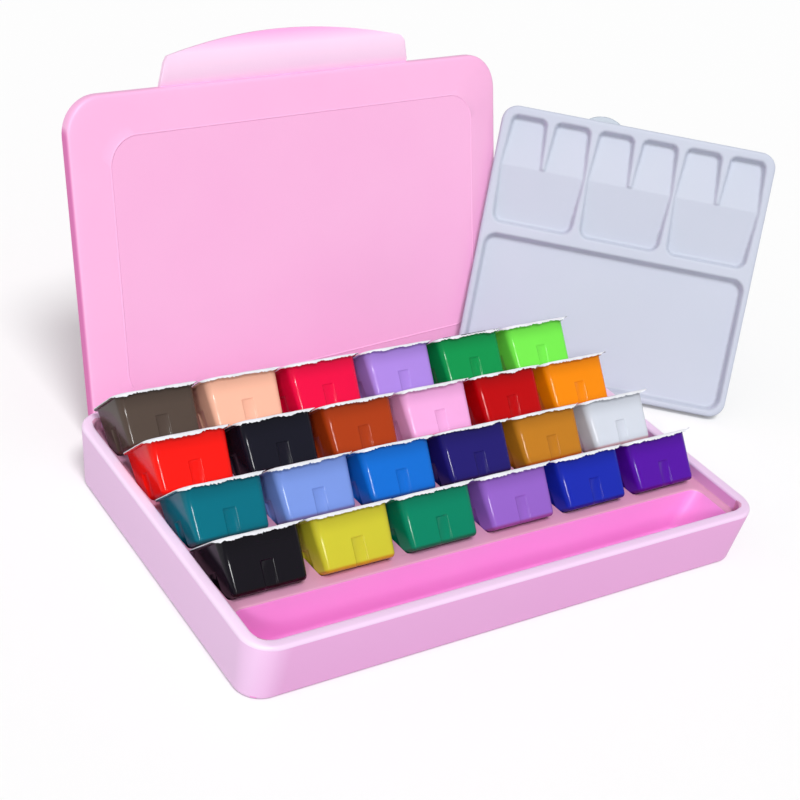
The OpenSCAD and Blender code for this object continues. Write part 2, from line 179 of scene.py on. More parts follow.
def edges_of(loop):
    found = []
    for i, v in enumerate(loop):
        found.append(next(e for e in v.link_edges if e.other_vert(v) is loop[(i + 1) % len(loop)]))
    return found


def grid_border(across, along):
    """The places round the edge of a grid, anticlockwise from its first corner."""
    return ([(i, 0) for i in range(across)] + [(across, j) for j in range(along)]
            + [(i, along) for i in range(across, 0, -1)] + [(0, j) for j in range(along, 0, -1)])


def soften(mesh, angle=32):
    """Smooth shading, with a sharp edge wherever two faces meet at more than the angle."""
    for face in mesh.faces:
        face.smooth = True
    for edge in mesh.edges:
        if len(edge.link_faces) == 2 and edge.calc_face_angle(0) > math.radians(angle):
            edge.smooth = False


def make_piece(name, mesh, materials, body, place=Matrix.Identity(4), nodes=()):
    data = bpy.data.meshes.new(name)
    mesh.to_mesh(data)
    mesh.free()
    for material in materials:
        data.materials.append(material)
    piece = bpy.data.objects.new(name, data)
    bpy.context.scene.collection.objects.link(piece)
    piece.matrix_world = place
    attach(piece, body)
    if nodes:
        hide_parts(*nodes)
    return piece


# ---------- Shader groups ----------
def group_sockets(group, ins, outs):
    for name, kind, value in ins:
        socket = group.interface.new_socket(name, in_out="INPUT", socket_type=kind)
        socket.default_value = value
    for name, kind in outs:
        group.interface.new_socket(name, in_out="OUTPUT", socket_type=kind)


def mould_grain_group():
    """The fine spark grain of a moulded plastic, with slow cloudy changes of tone."""
    group = bpy.data.node_groups.new("mould_grain", "ShaderNodeTree")
    group_sockets(group, [("Grain size", "NodeSocketFloat", 1500.0), ("Cloud size", "NodeSocketFloat", 14.0)],
                  [("Grain", "NodeSocketFloat"), ("Cloud", "NodeSocketFloat")])
    n, link = group.nodes, group.links.new
    ins, outs = n.new("NodeGroupInput"), n.new("NodeGroupOutput")
    where = n.new("ShaderNodeTexCoord")
    for size, detail, out in (("Grain size", 2, "Grain"), ("Cloud size", 3, "Cloud")):
        pattern = n.new("ShaderNodeTexNoise")
        pattern.inputs["Detail"].default_value = detail
        link(where.outputs["Object"], pattern.inputs["Vector"])
        link(ins.outputs[size], pattern.inputs["Scale"])
        link(pattern.outputs["Fac"], outs.inputs[out])
    return group


# Bands up a tub, as shares of its height: the painted shade under the flange, and the darker band along the
# base
SHADE_UNDER_FLANGE, BASE_EDGE = (0.62, 1.0), (0.085, 0.03)


def tub_height_group():
    """Masks up a tub: the band of painted shade under its flange, and the darker band along its base."""
    group = bpy.data.node_groups.new("tub_height", "ShaderNodeTree")
    group_sockets(group, [("Tub height", "NodeSocketFloat", TUB_H * MM)],
                  [("Painted shade under flange", "NodeSocketFloat"), ("Base edge", "NodeSocketFloat")])
    n, link = group.nodes, group.links.new
    ins, outs = n.new("NodeGroupInput"), n.new("NodeGroupOutput")
    where, parts = n.new("ShaderNodeTexCoord"), n.new("ShaderNodeSeparateXYZ")
    share = n.new("ShaderNodeMath")
    share.operation = "DIVIDE"
    link(where.outputs["Object"], parts.inputs[0])
    link(parts.outputs["Z"], share.inputs[0])
    link(ins.outputs["Tub height"], share.inputs[1])
    for (low, high), out in ((SHADE_UNDER_FLANGE, "Painted shade under flange"), (BASE_EDGE, "Base edge")):
        band = n.new("ShaderNodeMapRange")
        band.interpolation_type = "SMOOTHSTEP"
        band.inputs["From Min"].default_value = low
        band.inputs["From Max"].default_value = high
        link(share.outputs[0], band.inputs["Value"])
        link(band.outputs["Result"], outs.inputs[out])
    return group


MOULD_GRAIN = mould_grain_group()
TUB_HEIGHT = tub_height_group()


# ---------- Finishes ----------
def linear(colour):
    return [c / 12.92 if c <= 0.04045 else ((c + 0.055) / 1.055) ** 2.4 for c in colour[:3]] + [1.0]


def new_material(name):
    material = bpy.data.materials.new(name)
    material.use_nodes = True
    return material, material.node_tree.nodes, material.node_tree.links.new


def mix_colours(nodes, link, mask, a, b):
    mix = nodes.new("ShaderNodeMix")
    mix.data_type = "RGBA"
    link(mask, mix.inputs[0])
    for value, socket in ((a, mix.inputs[6]), (b, mix.inputs[7])):
        if isinstance(value, (list, tuple)):
            socket.default_value = value
        else:
            link(value, socket)
    return mix.outputs[2]


def place_grain(nodes, grain_size, cloud_size):
    grain = nodes.new("ShaderNodeGroup")
    grain.node_tree = MOULD_GRAIN
    grain.inputs["Grain size"].default_value = grain_size
    grain.inputs["Cloud size"].default_value = cloud_size
    return grain


def onto_range(nodes, link, value, low, high, to_low=0.0, to_high=1.0):
    """Carries a value from the range low to high over to another range."""
    band = nodes.new("ShaderNodeMapRange")
    for socket, number in (("From Min", low), ("From Max", high), ("To Min", to_low), ("To Max", to_high)):
        band.inputs[socket].default_value = number
    link(value, band.inputs["Value"])
    return band.outputs["Result"]


def part_of(nodes, link, value, share):
    product = nodes.new("ShaderNodeMath")
    product.operation = "MULTIPLY"
    product.inputs[1].default_value = share
    link(value, product.inputs[0])
    return product.outputs[0]


def vary_gloss(nodes, link, mask, low, high):
    link(onto_range(nodes, link, mask, 0.0, 1.0, low, high), nodes["Principled BSDF"].inputs["Roughness"])


def raise_bumps(nodes, link, height, depth):
    bump = nodes.new("ShaderNodeBump")
    bump.inputs["Distance"].default_value = depth * MM
    link(height, bump.inputs["Height"])
    link(bump.outputs["Normal"], nodes["Principled BSDF"].inputs["Normal"])


def moulded_plastic(name, light, deep, roughness, grain_size=1400, grain_depth=0.02, cloud_size=14.0):
    speckle_from, speckle_to, speckle_most, gloss_change = 0.35, 0.75, 0.16, 0.05
    material, nodes, link = new_material(name)
    grain = place_grain(nodes, grain_size, cloud_size)
    cloudy = mix_colours(nodes, link, grain.outputs["Cloud"], linear(light), linear(deep))
    speckle = onto_range(nodes, link, grain.outputs["Grain"], speckle_from, speckle_to, 0.0, speckle_most)
    speckled = mix_colours(nodes, link, speckle, cloudy, linear(deep))
    link(speckled, nodes["Principled BSDF"].inputs["Base Color"])
    vary_gloss(nodes, link, grain.outputs["Cloud"], roughness - gloss_change, roughness + gloss_change)
    raise_bumps(nodes, link, grain.outputs["Grain"], grain_depth)
    return material


def painted_light_fade(material, end_colour, axis, end, start):
    """Paints light and shade on a moulded plastic: turns it to end_colour along an axis, from start mm out to
    end mm.
    """
    nodes, link = material.node_tree.nodes, material.node_tree.links.new
    shader = nodes["Principled BSDF"]
    body = shader.inputs["Base Color"].links[0].from_socket
    where, parts = nodes.new("ShaderNodeTexCoord"), nodes.new("ShaderNodeSeparateXYZ")
    link(where.outputs["Object"], parts.inputs[0])
    fade = onto_range(nodes, link, parts.outputs[axis], end * MM, start * MM)
    link(mix_colours(nodes, link, fade, linear(end_colour), body), shader.inputs["Base Color"])


def tub_plastic(name, colour):
    """Clear glossy plastic over the paint, with painted shade under the flange, and darker and redder along
    the base.
    """
    dark_tone, shade_share, cloud_share, gloss, ripple = 0.55, 0.55, 0.12, (0.10, 0.17), 0.03
    material, nodes, link = new_material(name)
    shader = nodes["Principled BSDF"]
    paint = linear(colour)
    dark = [c * dark_tone for c in paint[:3]] + [1.0]
    # The paint shows darker and redder along the base
    base_edge = [min(1.0, paint[0] * 0.9 + 0.01), paint[1] * 0.5, paint[2] * 0.5, 1.0]
    height = nodes.new("ShaderNodeGroup")
    height.node_tree = TUB_HEIGHT
    grain = place_grain(nodes, grain_size=220, cloud_size=60)
    # Painted shade: the paint darkens in the band under the flange
    deep = part_of(nodes, link, height.outputs["Painted shade under flange"], shade_share)
    upper = mix_colours(nodes, link, deep, paint, dark)
    cloud = part_of(nodes, link, grain.outputs["Cloud"], cloud_share)
    clouded = mix_colours(nodes, link, cloud, upper, dark)
    edged = mix_colours(nodes, link, height.outputs["Base edge"], clouded, base_edge)
    link(edged, shader.inputs["Base Color"])
    shader.inputs["Specular IOR Level"].default_value = 0.2
    vary_gloss(nodes, link, grain.outputs["Cloud"], *gloss)
    raise_bumps(nodes, link, grain.outputs["Cloud"], ripple)
    return material


def foil(name, colour, metallic, roughness):
    dulled, gloss_change, crinkle = 0.86, 0.08, 0.25
    material, nodes, link = new_material(name)
    shader = nodes["Principled BSDF"]
    grain = place_grain(nodes, grain_size=420, cloud_size=130)
    light, dull = linear(colour), linear([c * dulled for c in colour])
    link(mix_colours(nodes, link, grain.outputs["Cloud"], light, dull), shader.inputs["Base Color"])
    shader.inputs["Metallic"].default_value = metallic
    vary_gloss(nodes, link, grain.outputs["Grain"], roughness - gloss_change, roughness + gloss_change)
    raise_bumps(nodes, link, grain.outputs["Cloud"], crinkle)
    return material


# Each plastic has a light and a deep tone. The tray's pink is painted in other tones for light and shade:
# the rim paler (painted light), the bed and the trough deeper (painted shade), and the flap is the lid's pink
# made paler (painted light). The rim and the wall pale towards the left end (painted light), the lid's left
# edge is deeper (painted shade), and so is the crest of the flap (painted shade).
# Painted light: the rim is the tray's pink made paler, and paler still towards the left end
PINK_RIM_PAINTED_LIGHT = moulded_plastic("rim_pink_painted_light", (0.93, 0.82, 0.93), (0.91, 0.78, 0.91), roughness=0.42)
painted_light_fade(PINK_RIM_PAINTED_LIGHT, (0.98, 0.87, 0.98), "X", end=-TRAY_W / 2 + RIM_W * 0.6, start=-TRAY_W / 2 + RIM_W * 1.6)
PINK_WALL = moulded_plastic("wall_pink", (0.89, 0.67, 0.85), (0.88, 0.62, 0.83), roughness=0.42,
                            cloud_size=6.0)
# Painted light: the wall pales towards the left end
painted_light_fade(PINK_WALL, (0.95, 0.79, 0.94), "X",
         end=-TRAY_W / 2 + TRAY_CORNER * 0.3, start=-TRAY_W / 2 + TRAY_CORNER * 1.3)
# Painted shade: the bed is the tray's pink made deeper
PINK_BED_PAINTED_SHADE = moulded_plastic("bed_pink_painted_shade", (0.86, 0.635, 0.75), (0.84, 0.575, 0.71), roughness=0.40)
# Painted shade: the trough is the tray's pink made deeper
PINK_TROUGH_PAINTED_SHADE = moulded_plastic("trough_pink_painted_shade", (0.97, 0.63, 0.89), (0.96, 0.57, 0.87), roughness=0.36)
PINK_LID = moulded_plastic("lid_pink", (0.96, 0.72, 0.87), (0.95, 0.68, 0.85), roughness=0.42,
                           grain_size=1200, grain_depth=0.03)
# Painted shade: the lid's left edge deepens to a darker pink
painted_light_fade(PINK_LID, (0.86, 0.44, 0.70), "X", end=-LID_W / 2 + 0.2, start=-LID_W / 2 + 1.0)
# Painted light: the flap is the lid's pink made paler
PINK_FLAP_PAINTED_LIGHT_AND_SHADE = moulded_plastic("flap_pink_painted_light_and_shade", (0.97, 0.84, 0.93), (0.96, 0.80, 0.92), roughness=0.40,
                            grain_size=1200, grain_depth=0.03)
# Painted shade: the flap deepens towards its crest
painted_light_fade(PINK_FLAP_PAINTED_LIGHT_AND_SHADE, (0.96, 0.66, 0.86), "Y", end=LID_D / 2 + 26, start=LID_D / 2 + 18)
PALETTE_WHITE = moulded_plastic("palette_white", (0.74, 0.76, 0.815), (0.715, 0.74, 0.80), roughness=0.55,
                                grain_size=700, grain_depth=0.006)
# Painted shade: the tab is the palette's white made grey
PALETTE_TAB_PAINTED_SHADE = moulded_plastic("palette_tab_painted_shade", (0.66, 0.70, 0.74), (0.62, 0.66, 0.71), roughness=0.34,
                              grain_size=700, grain_depth=0.006)
FOIL_FACE = foil("foil_white_face", (0.93, 0.94, 0.96), metallic=0.0, roughness=0.42)
FOIL_BACK = foil("foil_grey_back", (0.55, 0.56, 0.60), metallic=0.7, roughness=0.38)


# ---------- Tray ----------
def nest_loops(mesh):
    """Presses a slanted nest into the bed for each tub and gives back their mouths."""
    mouths = []
    foot_inset, above_base, foot_edge = 0.9, 0.1, 0.35
    top = TUB_DRAFT * (1 - NEST_H / TUB_H)
    levels = [(-NEST_GAP, TUB_DRAFT + TUB_FOOT * 0.4 - NEST_GAP + foot_inset),
              (above_base, TUB_DRAFT + foot_edge - NEST_GAP),
              (TUB_FOOT * 0.6, TUB_DRAFT - NEST_GAP), (NEST_H, top - NEST_GAP)]
    outlines = stack_outlines(levels, TUB_W, TUB_D, TUB_CORNER, 6)
    for index in range(COLUMNS * ROWS):
        press = bmesh.new()
        rings = loft(press, outlines, seat(index), inward=True)
        cap(press, rings[0], True)
        bmesh.ops.bisect_plane(press, geom=press.verts[:] + press.edges[:] + press.faces[:],
                               plane_co=(0, 0, BED_Z * MM), plane_no=(0, 0, 1), clear_outer=True)
        data = bpy.data.meshes.new("nest")
        press.to_mesh(data)
        press.free()
        before = len(mesh.edges)
        mesh.from_mesh(data)
        bpy.data.meshes.remove(data)
        mesh.edges.ensure_lookup_table()
        mouths += [e for e in mesh.edges[before:] if len(e.link_faces) == 1]
    return mouths


def tray_shell(mesh):
    """The outside of the tray, over its rim and down to the bed; gives back its outlines."""
    corner_steps = 14
    base = []
    for z, inset in flat_onto_wall(0, 0, FOOT_R, 5, up=1, out=1):
        ring = rounded(TRAY_W - 2 * (SIDE_DRAFT + inset), TRAY_D - 2 * (TRAY_DRAFT + inset),
                       TRAY_CORNER - SIDE_DRAFT - inset, corner_steps)
        base.append([(x, y, z) for x, y in ring])
    levels = (wall_onto_flat(TRAY_H, 0, RIM_R, 5, up=-1) + flat_onto_wall(TRAY_H, RIM_W, LIP_R, 5)
              + wall_onto_flat(BED_Z, RIM_W, FILLET_R, 4))
    return loft(mesh, base + stack_outlines(levels, TRAY_W, TRAY_D, TRAY_CORNER, corner_steps))


def brush_trough(mesh):
    """The trough in the land before the bed, with its right-hand end drawn out to a slope."""
    levels = (flat_onto_wall(BED_Z, 0, TROUGH_LIP_R, 4)
              + wall_onto_flat(TROUGH_FLOOR, TROUGH_DRAFT, TROUGH_R, 5))
    right_end = TROUGH_L / 2 - 10
    hollow = [[(x - END_SLOPE * (BED_Z - z) / BED_Z * (x > right_end), y, z) for x, y, z in outline]
              for outline in stack_outlines(levels, TROUGH_L, TROUGH_W, TROUGH_CORNER, 8)]
    return loft(mesh, hollow, Matrix.Translation((TROUGH_AT[0] * MM, TROUGH_AT[1] * MM, 0)))


def tray_painted_tone(at):
    """Which tone of the tray's pink a point gets: 0 rim (painted light), 1 bed and 2 trough (painted shade), 3
    wall.
    """
    slack, underside, brink, rim_edge = 0.2, 0.5, 0.6, 1.8
    inner = abs(at.x) < TRAY_W / 2 - RIM_W - slack and abs(at.y) < TRAY_D / 2 - RIM_W - slack
    if inner and at.z > underside:
        return 2 if at.z < BED_Z - brink and at.y < TROUGH_AT[1] + TROUGH_W / 2 + 1 else 1
    return 3 if at.z < TRAY_H - rim_edge else 0


def make_tray():
    mesh = bmesh.new()
    shell = tray_shell(mesh)
    cap(mesh, shell[0], False)
    trough = brush_trough(mesh)
    cap(mesh, trough[-1], True)
    mouths = nest_loops(mesh)
    rims = edges_of(shell[-1]) + edges_of(trough[0]) + mouths
    filled = bmesh.ops.triangle_fill(mesh, edges=rims, use_beauty=True)
    for face in filled["geom"]:
        if isinstance(face, bmesh.types.BMFace) and face.normal.z < 0:
            face.normal_flip()
    bmesh.ops.remove_doubles(mesh, verts=mesh.verts, dist=1e-7)
    bmesh.ops.recalc_face_normals(mesh, faces=mesh.faces)
    soften(mesh)
    for face in mesh.faces:
        face.material_index = tray_painted_tone(face.calc_center_median() / MM)
    make_piece("tray_moulding", mesh, [PINK_RIM_PAINTED_LIGHT, PINK_BED_PAINTED_SHADE, PINK_TROUGH_PAINTED_SHADE, PINK_WALL], "tray",
               nodes=["tray"])


make_tray()

# ---------- Tubs ----------
# (height, inset) down the inside of a shell, and up its block of paint
SHELL_ROOM = [(TUB_H, 0.9), (TUB_H - 0.5, 1.05), (4, 2.8), (2.2, 3.5), (TUB_WALL + 0.2, 5.2)]
PAINT_BLOCK = [(TUB_WALL + 0.5, 5.4), (2.4, 3.7), (4, 3.0), (TUB_H - 3, 1.45)]


def tub_outline(inset, groove, z):
    """One level of a tub's wall, with the keyways pressed in by groove."""
    tightest, beside, brink, brink_share = 0.6, 0.3, 0.15, 0.3
    w, d, r = TUB_W / 2 - inset, TUB_D / 2 - inset, max(TUB_CORNER - inset, tightest)
    half = KEY_W / 2
    key = [(-half - beside, 0), (-half, 0), (-half + brink, groove * brink_share), (-half + KEY_SIDE, groove),
           (half - KEY_SIDE, groove), (half - brink, groove * brink_share), (half, 0), (half + beside, 0)]
    points = []
    for quarter in range(4):
        far, wide = (w, d) if quarter % 2 == 0 else (d, w)
        side = [(far - into, along) for along, into in key]
        bend = [(far - r + r * math.cos(a), wide - r + r * math.sin(a)) for a in quarter_turn(9)]
        c, s = ((1, 0), (0, 1), (-1, 0), (0, -1))[quarter]
        points += [(x * c - y * s, x * s + y * c, z) for x, y in side + bend]
    return points


def tub_levels():
    """(height, inset, keyway depth) from the base up to the underside of the flange."""
    foot_pull = 0.8
    levels = []
    for a in quarter_turn(6):
        z = TUB_FOOT * (1 - math.cos(a))
        levels.append((z, TUB_DRAFT * (1 - z / TUB_H) + TUB_FOOT * (1 - math.sin(a)) * foot_pull, KEY_DEPTH))
    top = TUB_H - FLANGE_T
    for z, groove in ((KEY_H - 0.5, KEY_DEPTH), (KEY_H - 0.1, KEY_DEPTH * 0.5), (KEY_H + 0.1, 0),
                      (KEY_H + 0.6, 0), (top - 0.5, 0)):
        levels.append((z, TUB_DRAFT * (1 - z / TUB_H), groove))
    return levels + [(top - 0.15, -0.1, 0), (top, -0.5, 0), (top, -FLANGE_W + 0.2, 0),
                     (top + 0.2, -FLANGE_W, 0), (TUB_H - 0.2, -FLANGE_W, 0), (TUB_H, -FLANGE_W + 0.2, 0)]


def make_tub(index, name, plastic, paint):
    mesh = bmesh.new()
    outside = loft(mesh, [tub_outline(i, g, z) for z, i, g in tub_levels()])
    cap(mesh, outside[0], False)
    inside = loft(mesh, [tub_outline(i, 0, z) for z, i in SHELL_ROOM])
    cap(mesh, inside[-1], True)
    join_rings(mesh, outside[-1], inside[0])
    soften(mesh, angle=40)
    make_piece("tub_shell_" + name, mesh, [plastic], "tub_" + name, seat(index),
               nodes=["tub_" + name])
    fill = bmesh.new()
    block = loft(fill, [tub_outline(i, 0, z) for z, i in PAINT_BLOCK])
    cap(fill, block[0], False)
    cap(fill, block[-1], True)
    soften(fill, angle=40)
    make_piece("paint_" + name, fill, [paint], "tub_" + name, seat(index))


# ---------- Foil seals ----------
# How closely the long tears, the short bites and the slow waves of a foil follow each other
TEAR_RATE, BITE_RATE, WAVE_RATE = 0.13, 1.5, 0.12
WAVE_H, OVER_FLANGE, FOIL_SHARE, EDGE_BACK = 0.12, 0.02, 0.6, 0.12
# How far from a foil's middle its front edge and its two ends begin
FRONT_FROM, END_FROM = 14, 20


def ramp(value, start, length):
    return max(0.0, min(1.0, (value - start) / length))


def torn_edge(x, y, index):
    """How far the torn foil reaches past the flange at a point, and how far it droops."""
    tear = noise.noise(Vector((x * TEAR_RATE, y * TEAR_RATE, index * 7.3)))
    bite = noise.noise(Vector((x * BITE_RATE, y * BITE_RATE, index * 3.1 + 40)))
    front = ramp(-y, FRONT_FROM, 5)
    tip = front * ramp(x, END_FROM, 5)
    left = ramp(-x, END_FROM, 4)
    least, most_beside_a_tub, last_tip = 0.1, 2.8, 1.4
    reach = 0.6 + 0.4 * tear + 0.3 * bite + 0.4 * front + 1.8 * tip - 0.6 * left
    droop = 0.3 + 0.2 * bite + front * (1.3 + 1.0 * tear + 0.6 * bite) - 2.4 * tip
    if index % COLUMNS == COLUMNS - 1:
        reach += last_tip * tip
    else:
        reach = min(reach, most_beside_a_tub)
    return max(reach, least), droop if tip > 0 else max(droop, least)


def foil_wave(x, y, index):
    return WAVE_H * noise.noise(Vector((x * WAVE_RATE, y * WAVE_RATE, index * 2.0)))


def foil_rings(path, core_w, core_d, index, side):
    """Rings of one face of a foil, from its middle out over the flange and down its torn edge."""
    face_z = TUB_H + OVER_FLANGE + SEAL_T * FOIL_SHARE * side
    rings = []
    for share in (0.0, 0.35, 0.65, 0.85, 0.955, 1.0):
        inner = [(x * share, y * share) for x, y in path]
        rings.append([(x, y, face_z + foil_wave(x, y, index)) for x, y in inner])
    for turn in (0.35, 0.7, 1.0):
        ring = []
        for x, y in path:
            reach, droop = torn_edge(x, y, index)
            out = Vector((x - max(-core_w, min(core_w, x)), y - max(-core_d, min(core_d, y))))
            out = out.normalized() * (reach * math.sin(turn * math.pi / 2) - EDGE_BACK * (1 - side))
            fall = droop * (1 - math.cos(turn * math.pi / 2))
            ring.append((x + out.x, y + out.y, face_z + foil_wave(x, y, index) - fall))
        rings.append(ring)
    return rings


def make_seal(index, name):
    """Foil heat-sealed on the flange: torn all round, drooping over the front edge."""
    mesh = bmesh.new()
    past_flange, stitch = 0.1, 0.8
    half_w, half_d = TUB_W / 2 + FLANGE_W + past_flange, TUB_D / 2 + FLANGE_W + past_flange
    r = TUB_CORNER + FLANGE_W
    base = rounded(2 * half_w, 2 * half_d, r, 6)
    path = []
    for (x, y), (nx, ny) in zip(base, base[1:] + base[:1]):
        pieces = max(1, int(math.hypot(nx - x, ny - y) / stitch))
        path += [(x + (nx - x) * k / pieces, y + (ny - y) * k / pieces) for k in range(pieces)]
    edges = []
    for side, up in ((1, True), (0, False)):
        rings = foil_rings(path, half_w - r, half_d - r, index, side)
        edges.append((loft(mesh, rings[1:], inward=up), rings[0][0], up))
    for loops, centre, up in edges:
        middle = mesh.verts.new(Vector(centre) * MM)
        first = loops[0]
        for i in range(len(first)):
            j = (i + 1) % len(first)
            mesh.faces.new((middle, first[i], first[j]) if up else (middle, first[j], first[i]))
    join_rings(mesh, edges[1][0][-1], edges[0][0][-1])
    bmesh.ops.recalc_face_normals(mesh, faces=mesh.faces)
    soften(mesh, angle=50)
    for face in mesh.faces:
        face.material_index = 1 if face.normal.z < -0.5 else 0
    make_piece("foil_seal_" + name, mesh, [FOIL_FACE, FOIL_BACK], "tub_" + name, seat(index),
               nodes=["seal_" + name])


# Paints whose tone in the photograph is a little off the parts list's
SEEN_AS = {"white": (0.80, 0.82, 0.86), "rose": (0.93, 0.66, 0.86), "crimson": (0.91, 0.03, 0.26),
           "ochre": (0.73, 0.47, 0.12), "lemon": (0.78, 0.76, 0.2), "emerald": (0.0, 0.5, 0.37),
           "teal": (0.0, 0.42, 0.49), "orange": (0.93, 0.53, 0.02), "madder": (0.71, 0.0, 0.02)}


def tubs_in_order():
    """The paints' names from the front left tub to the rear right one."""
    order = {}
    for name in PAINT_NAMES:
        low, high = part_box("tub_" + name)
        middle = (low + high) / 2 / MM
        column = round((middle.x - FIRST.x) / PITCH_X)
        row = round((middle.y - FIRST.y - TUB_H / 3) / PITCH_Y)
        order[column + COLUMNS * row] = name
    return sorted(order.items())


def make_tubs():
    slots = {m["slot"]: m for m in frame["record"]["materials"]}
    for index, name in tubs_in_order():
        colour = SEEN_AS.get(name, slots["tub_" + name]["base_color"])
        plastic = tub_plastic("tub_" + name, colour)
        paint = moulded_plastic("paint_" + name, colour, [c * 0.9 for c in colour[:3]], roughness=0.5,
                                grain_size=300, grain_depth=0.01, cloud_size=80)
        make_tub(index, name, plastic, paint)
        make_seal(index, name)


make_tubs()

# ---------- Lid ----------
# (height, inset) up the rounded edge, over the bead round the panel, and inside the lid
SHOULDER_Z, SHOULDER_IN, PANEL_Z, PANEL_IN = 6.55, 2.7, 9.0, 23.8
LID_SHOULDER = [(0, 0), (0.5, -0.02), (4.4, 0.25), (5.2, 0.5), (5.9, 1.0), (6.3, 1.7),
                (SHOULDER_Z, SHOULDER_IN)]
LID_BEAD = [(9.15, 24.0), (9.3, 24.2), (9.35, 24.4), (9.3, 24.6), (9.15, 24.8), (PANEL_Z, 25.0)]
LID_ROOM = [(0, 1.8), (3.4, 2.05), (4.3, 2.7), (4.8, 4.5), (7.2, 23.8)]


def lid_outlines(levels):
    """Outlines of the lid, whose corners tighten a little from its edge in to the panel."""
    outlines = []
    for z, inset in levels:
        r = LID_CORNER + (PANEL_CORNER - LID_CORNER) * inset / BORDER_W
        outlines.append([(x, y, z) for x, y in rounded(LID_W - 2 * inset, LID_D - 2 * inset, r, 14)])
    return outlines


def make_lid():
    mesh = bmesh.new()
    slope = [(SHOULDER_Z + (PANEL_Z - SHOULDER_Z) * k / 4, SHOULDER_IN + (PANEL_IN - SHOULDER_IN) * k / 4)
             for k in range(1, 5)]
    outer = loft(mesh, lid_outlines(LID_SHOULDER + slope + LID_BEAD))
    cap(mesh, outer[-1], True)
    inner = loft(mesh, lid_outlines(LID_ROOM), inward=True)
    cap(mesh, inner[-1], False)
    join_rings(mesh, inner[0], outer[0])
    bmesh.ops.recalc_face_normals(mesh, faces=mesh.faces)
    soften(mesh, angle=28)
    make_piece("lid_moulding", mesh, [PINK_LID], "lid", LID_PLACE, nodes=["lid"])


# The flap: its middle on the lid's edge, half its width, how far its arch and its shoulders
# reach past the lid, the radius of its curl, and its thickness
FLAP_X, FLAP_HALF, FLAP_REACH, FLAP_SHOULDER, FLAP_CURL, FLAP_T = -5.0, 92.5, 27.0, 16.0, 26.0, 2.4
# How far its root is let into the lid, the crest's height, its share of the reach, and the edge
FLAP_ROOT, FLAP_CREST, CREST_AT, FLAP_ROUND = 0.9, 4.5, 0.42, 0.8
# Its rounded ends, as shares of the half width, and how far they drop
ROUND_FROM, ROUND_SPAN, ROUND_DROP = 0.93, 0.07, 14


def make_flap():
    """The grip flap: a curled plate under a shallow arch, with square shoulders."""
    mesh = bmesh.new()
    across, along, nearly = 72, 14, 0.98
    mid = LID_D / 2 + FLAP_REACH * CREST_AT
    grid = {}
    for side in (0, 1):
        r = FLAP_CURL - FLAP_T * side
        for i in range(across + 1):
            u = -FLAP_HALF + 2 * FLAP_HALF * i / across
            k = abs(u) / FLAP_HALF
            top = FLAP_SHOULDER + (FLAP_REACH - FLAP_SHOULDER) * (1 - k ** 2)
            top -= ROUND_DROP * max(0, (k - ROUND_FROM) / ROUND_SPAN) ** 3
            for j in range(along + 1):
                v = LID_D / 2 - FLAP_ROOT + (top + FLAP_ROOT) * j / along
                y = min(max(v - mid, -r * nearly), r * nearly)
                z = FLAP_CREST - FLAP_CURL + math.sqrt(r * r - y * y)
                grid[side, i, j] = mesh.verts.new(Vector((u + FLAP_X, v, z)) * MM)
    for side in (0, 1):
        for i in range(across):
            for j in range(along):
                quad = (grid[side, i, j], grid[side, i + 1, j], grid[side, i + 1, j + 1], grid[side, i, j + 1])
                mesh.faces.new(quad if side == 0 else quad[::-1])
    border = grid_border(across, along)
    for a, b in zip(border, border[1:] + border[:1]):
        mesh.faces.new((grid[0, a[0], a[1]], grid[1, a[0], a[1]], grid[1, b[0], b[1]], grid[0, b[0], b[1]]))
    bmesh.ops.recalc_face_normals(mesh, faces=mesh.faces)
    soften(mesh, angle=40)
    piece = make_piece("lid_grip_flap", mesh, [PINK_FLAP_PAINTED_LIGHT_AND_SHADE], "lid", LID_PLACE)
    bevel = piece.modifiers.new("rounding", "BEVEL")
    bevel.width, bevel.segments, bevel.limit_method = FLAP_ROUND * MM, 3, "ANGLE"
    bevel.harden_normals = True


make_lid()
make_flap()

# ---------- Palette ----------
BORDER, WELL_DEPTH, RIDGE_DEPTH, WALL_SLOPE = 4.0, 5.5, 1.5, 2.3
# The ribs between bays or wells, at their wide and their narrow end
RIB_W, RIB_MIN = 5.0, 1.6
BAY_PITCH = (PALETTE_W - 2 * BORDER) / 6
# Along the palette, from the top down: bays, the ridge at BAY_END, wells, then the mixing area
BAY_TOP = PALETTE_L - 6
BAY_END = BAY_TOP - 35
WELL_END = BAY_END - 40.2
MIX_TOP = WELL_END - 6.6
BAY_R, WELL_R, MIX_R, PAST_RIDGE = 5, 7, 9, 20
# How softly a wall turns over the top edge and into the floor
EDGE_BLEND, FLOOR_BLEND = 0.16, 0.3
PALETTE_CORNER, SHEET_T, GRID_EDGE, LEAST_Z = 11.0, 1.5, 3.0, 0.4
TAB_R, TAB_REACH, TAB_X = 19.5, 4.0, -25.0


def into_box(u, v, half_w, low, high, r):
    """How far a point lies inside a rounded box, negative outside."""
    du, dv = abs(u) - half_w + r, abs(v - (low + high) / 2) - (high - low) / 2 + r
    return r - math.hypot(max(du, 0), max(dv, 0)) - min(max(du, dv), 0)


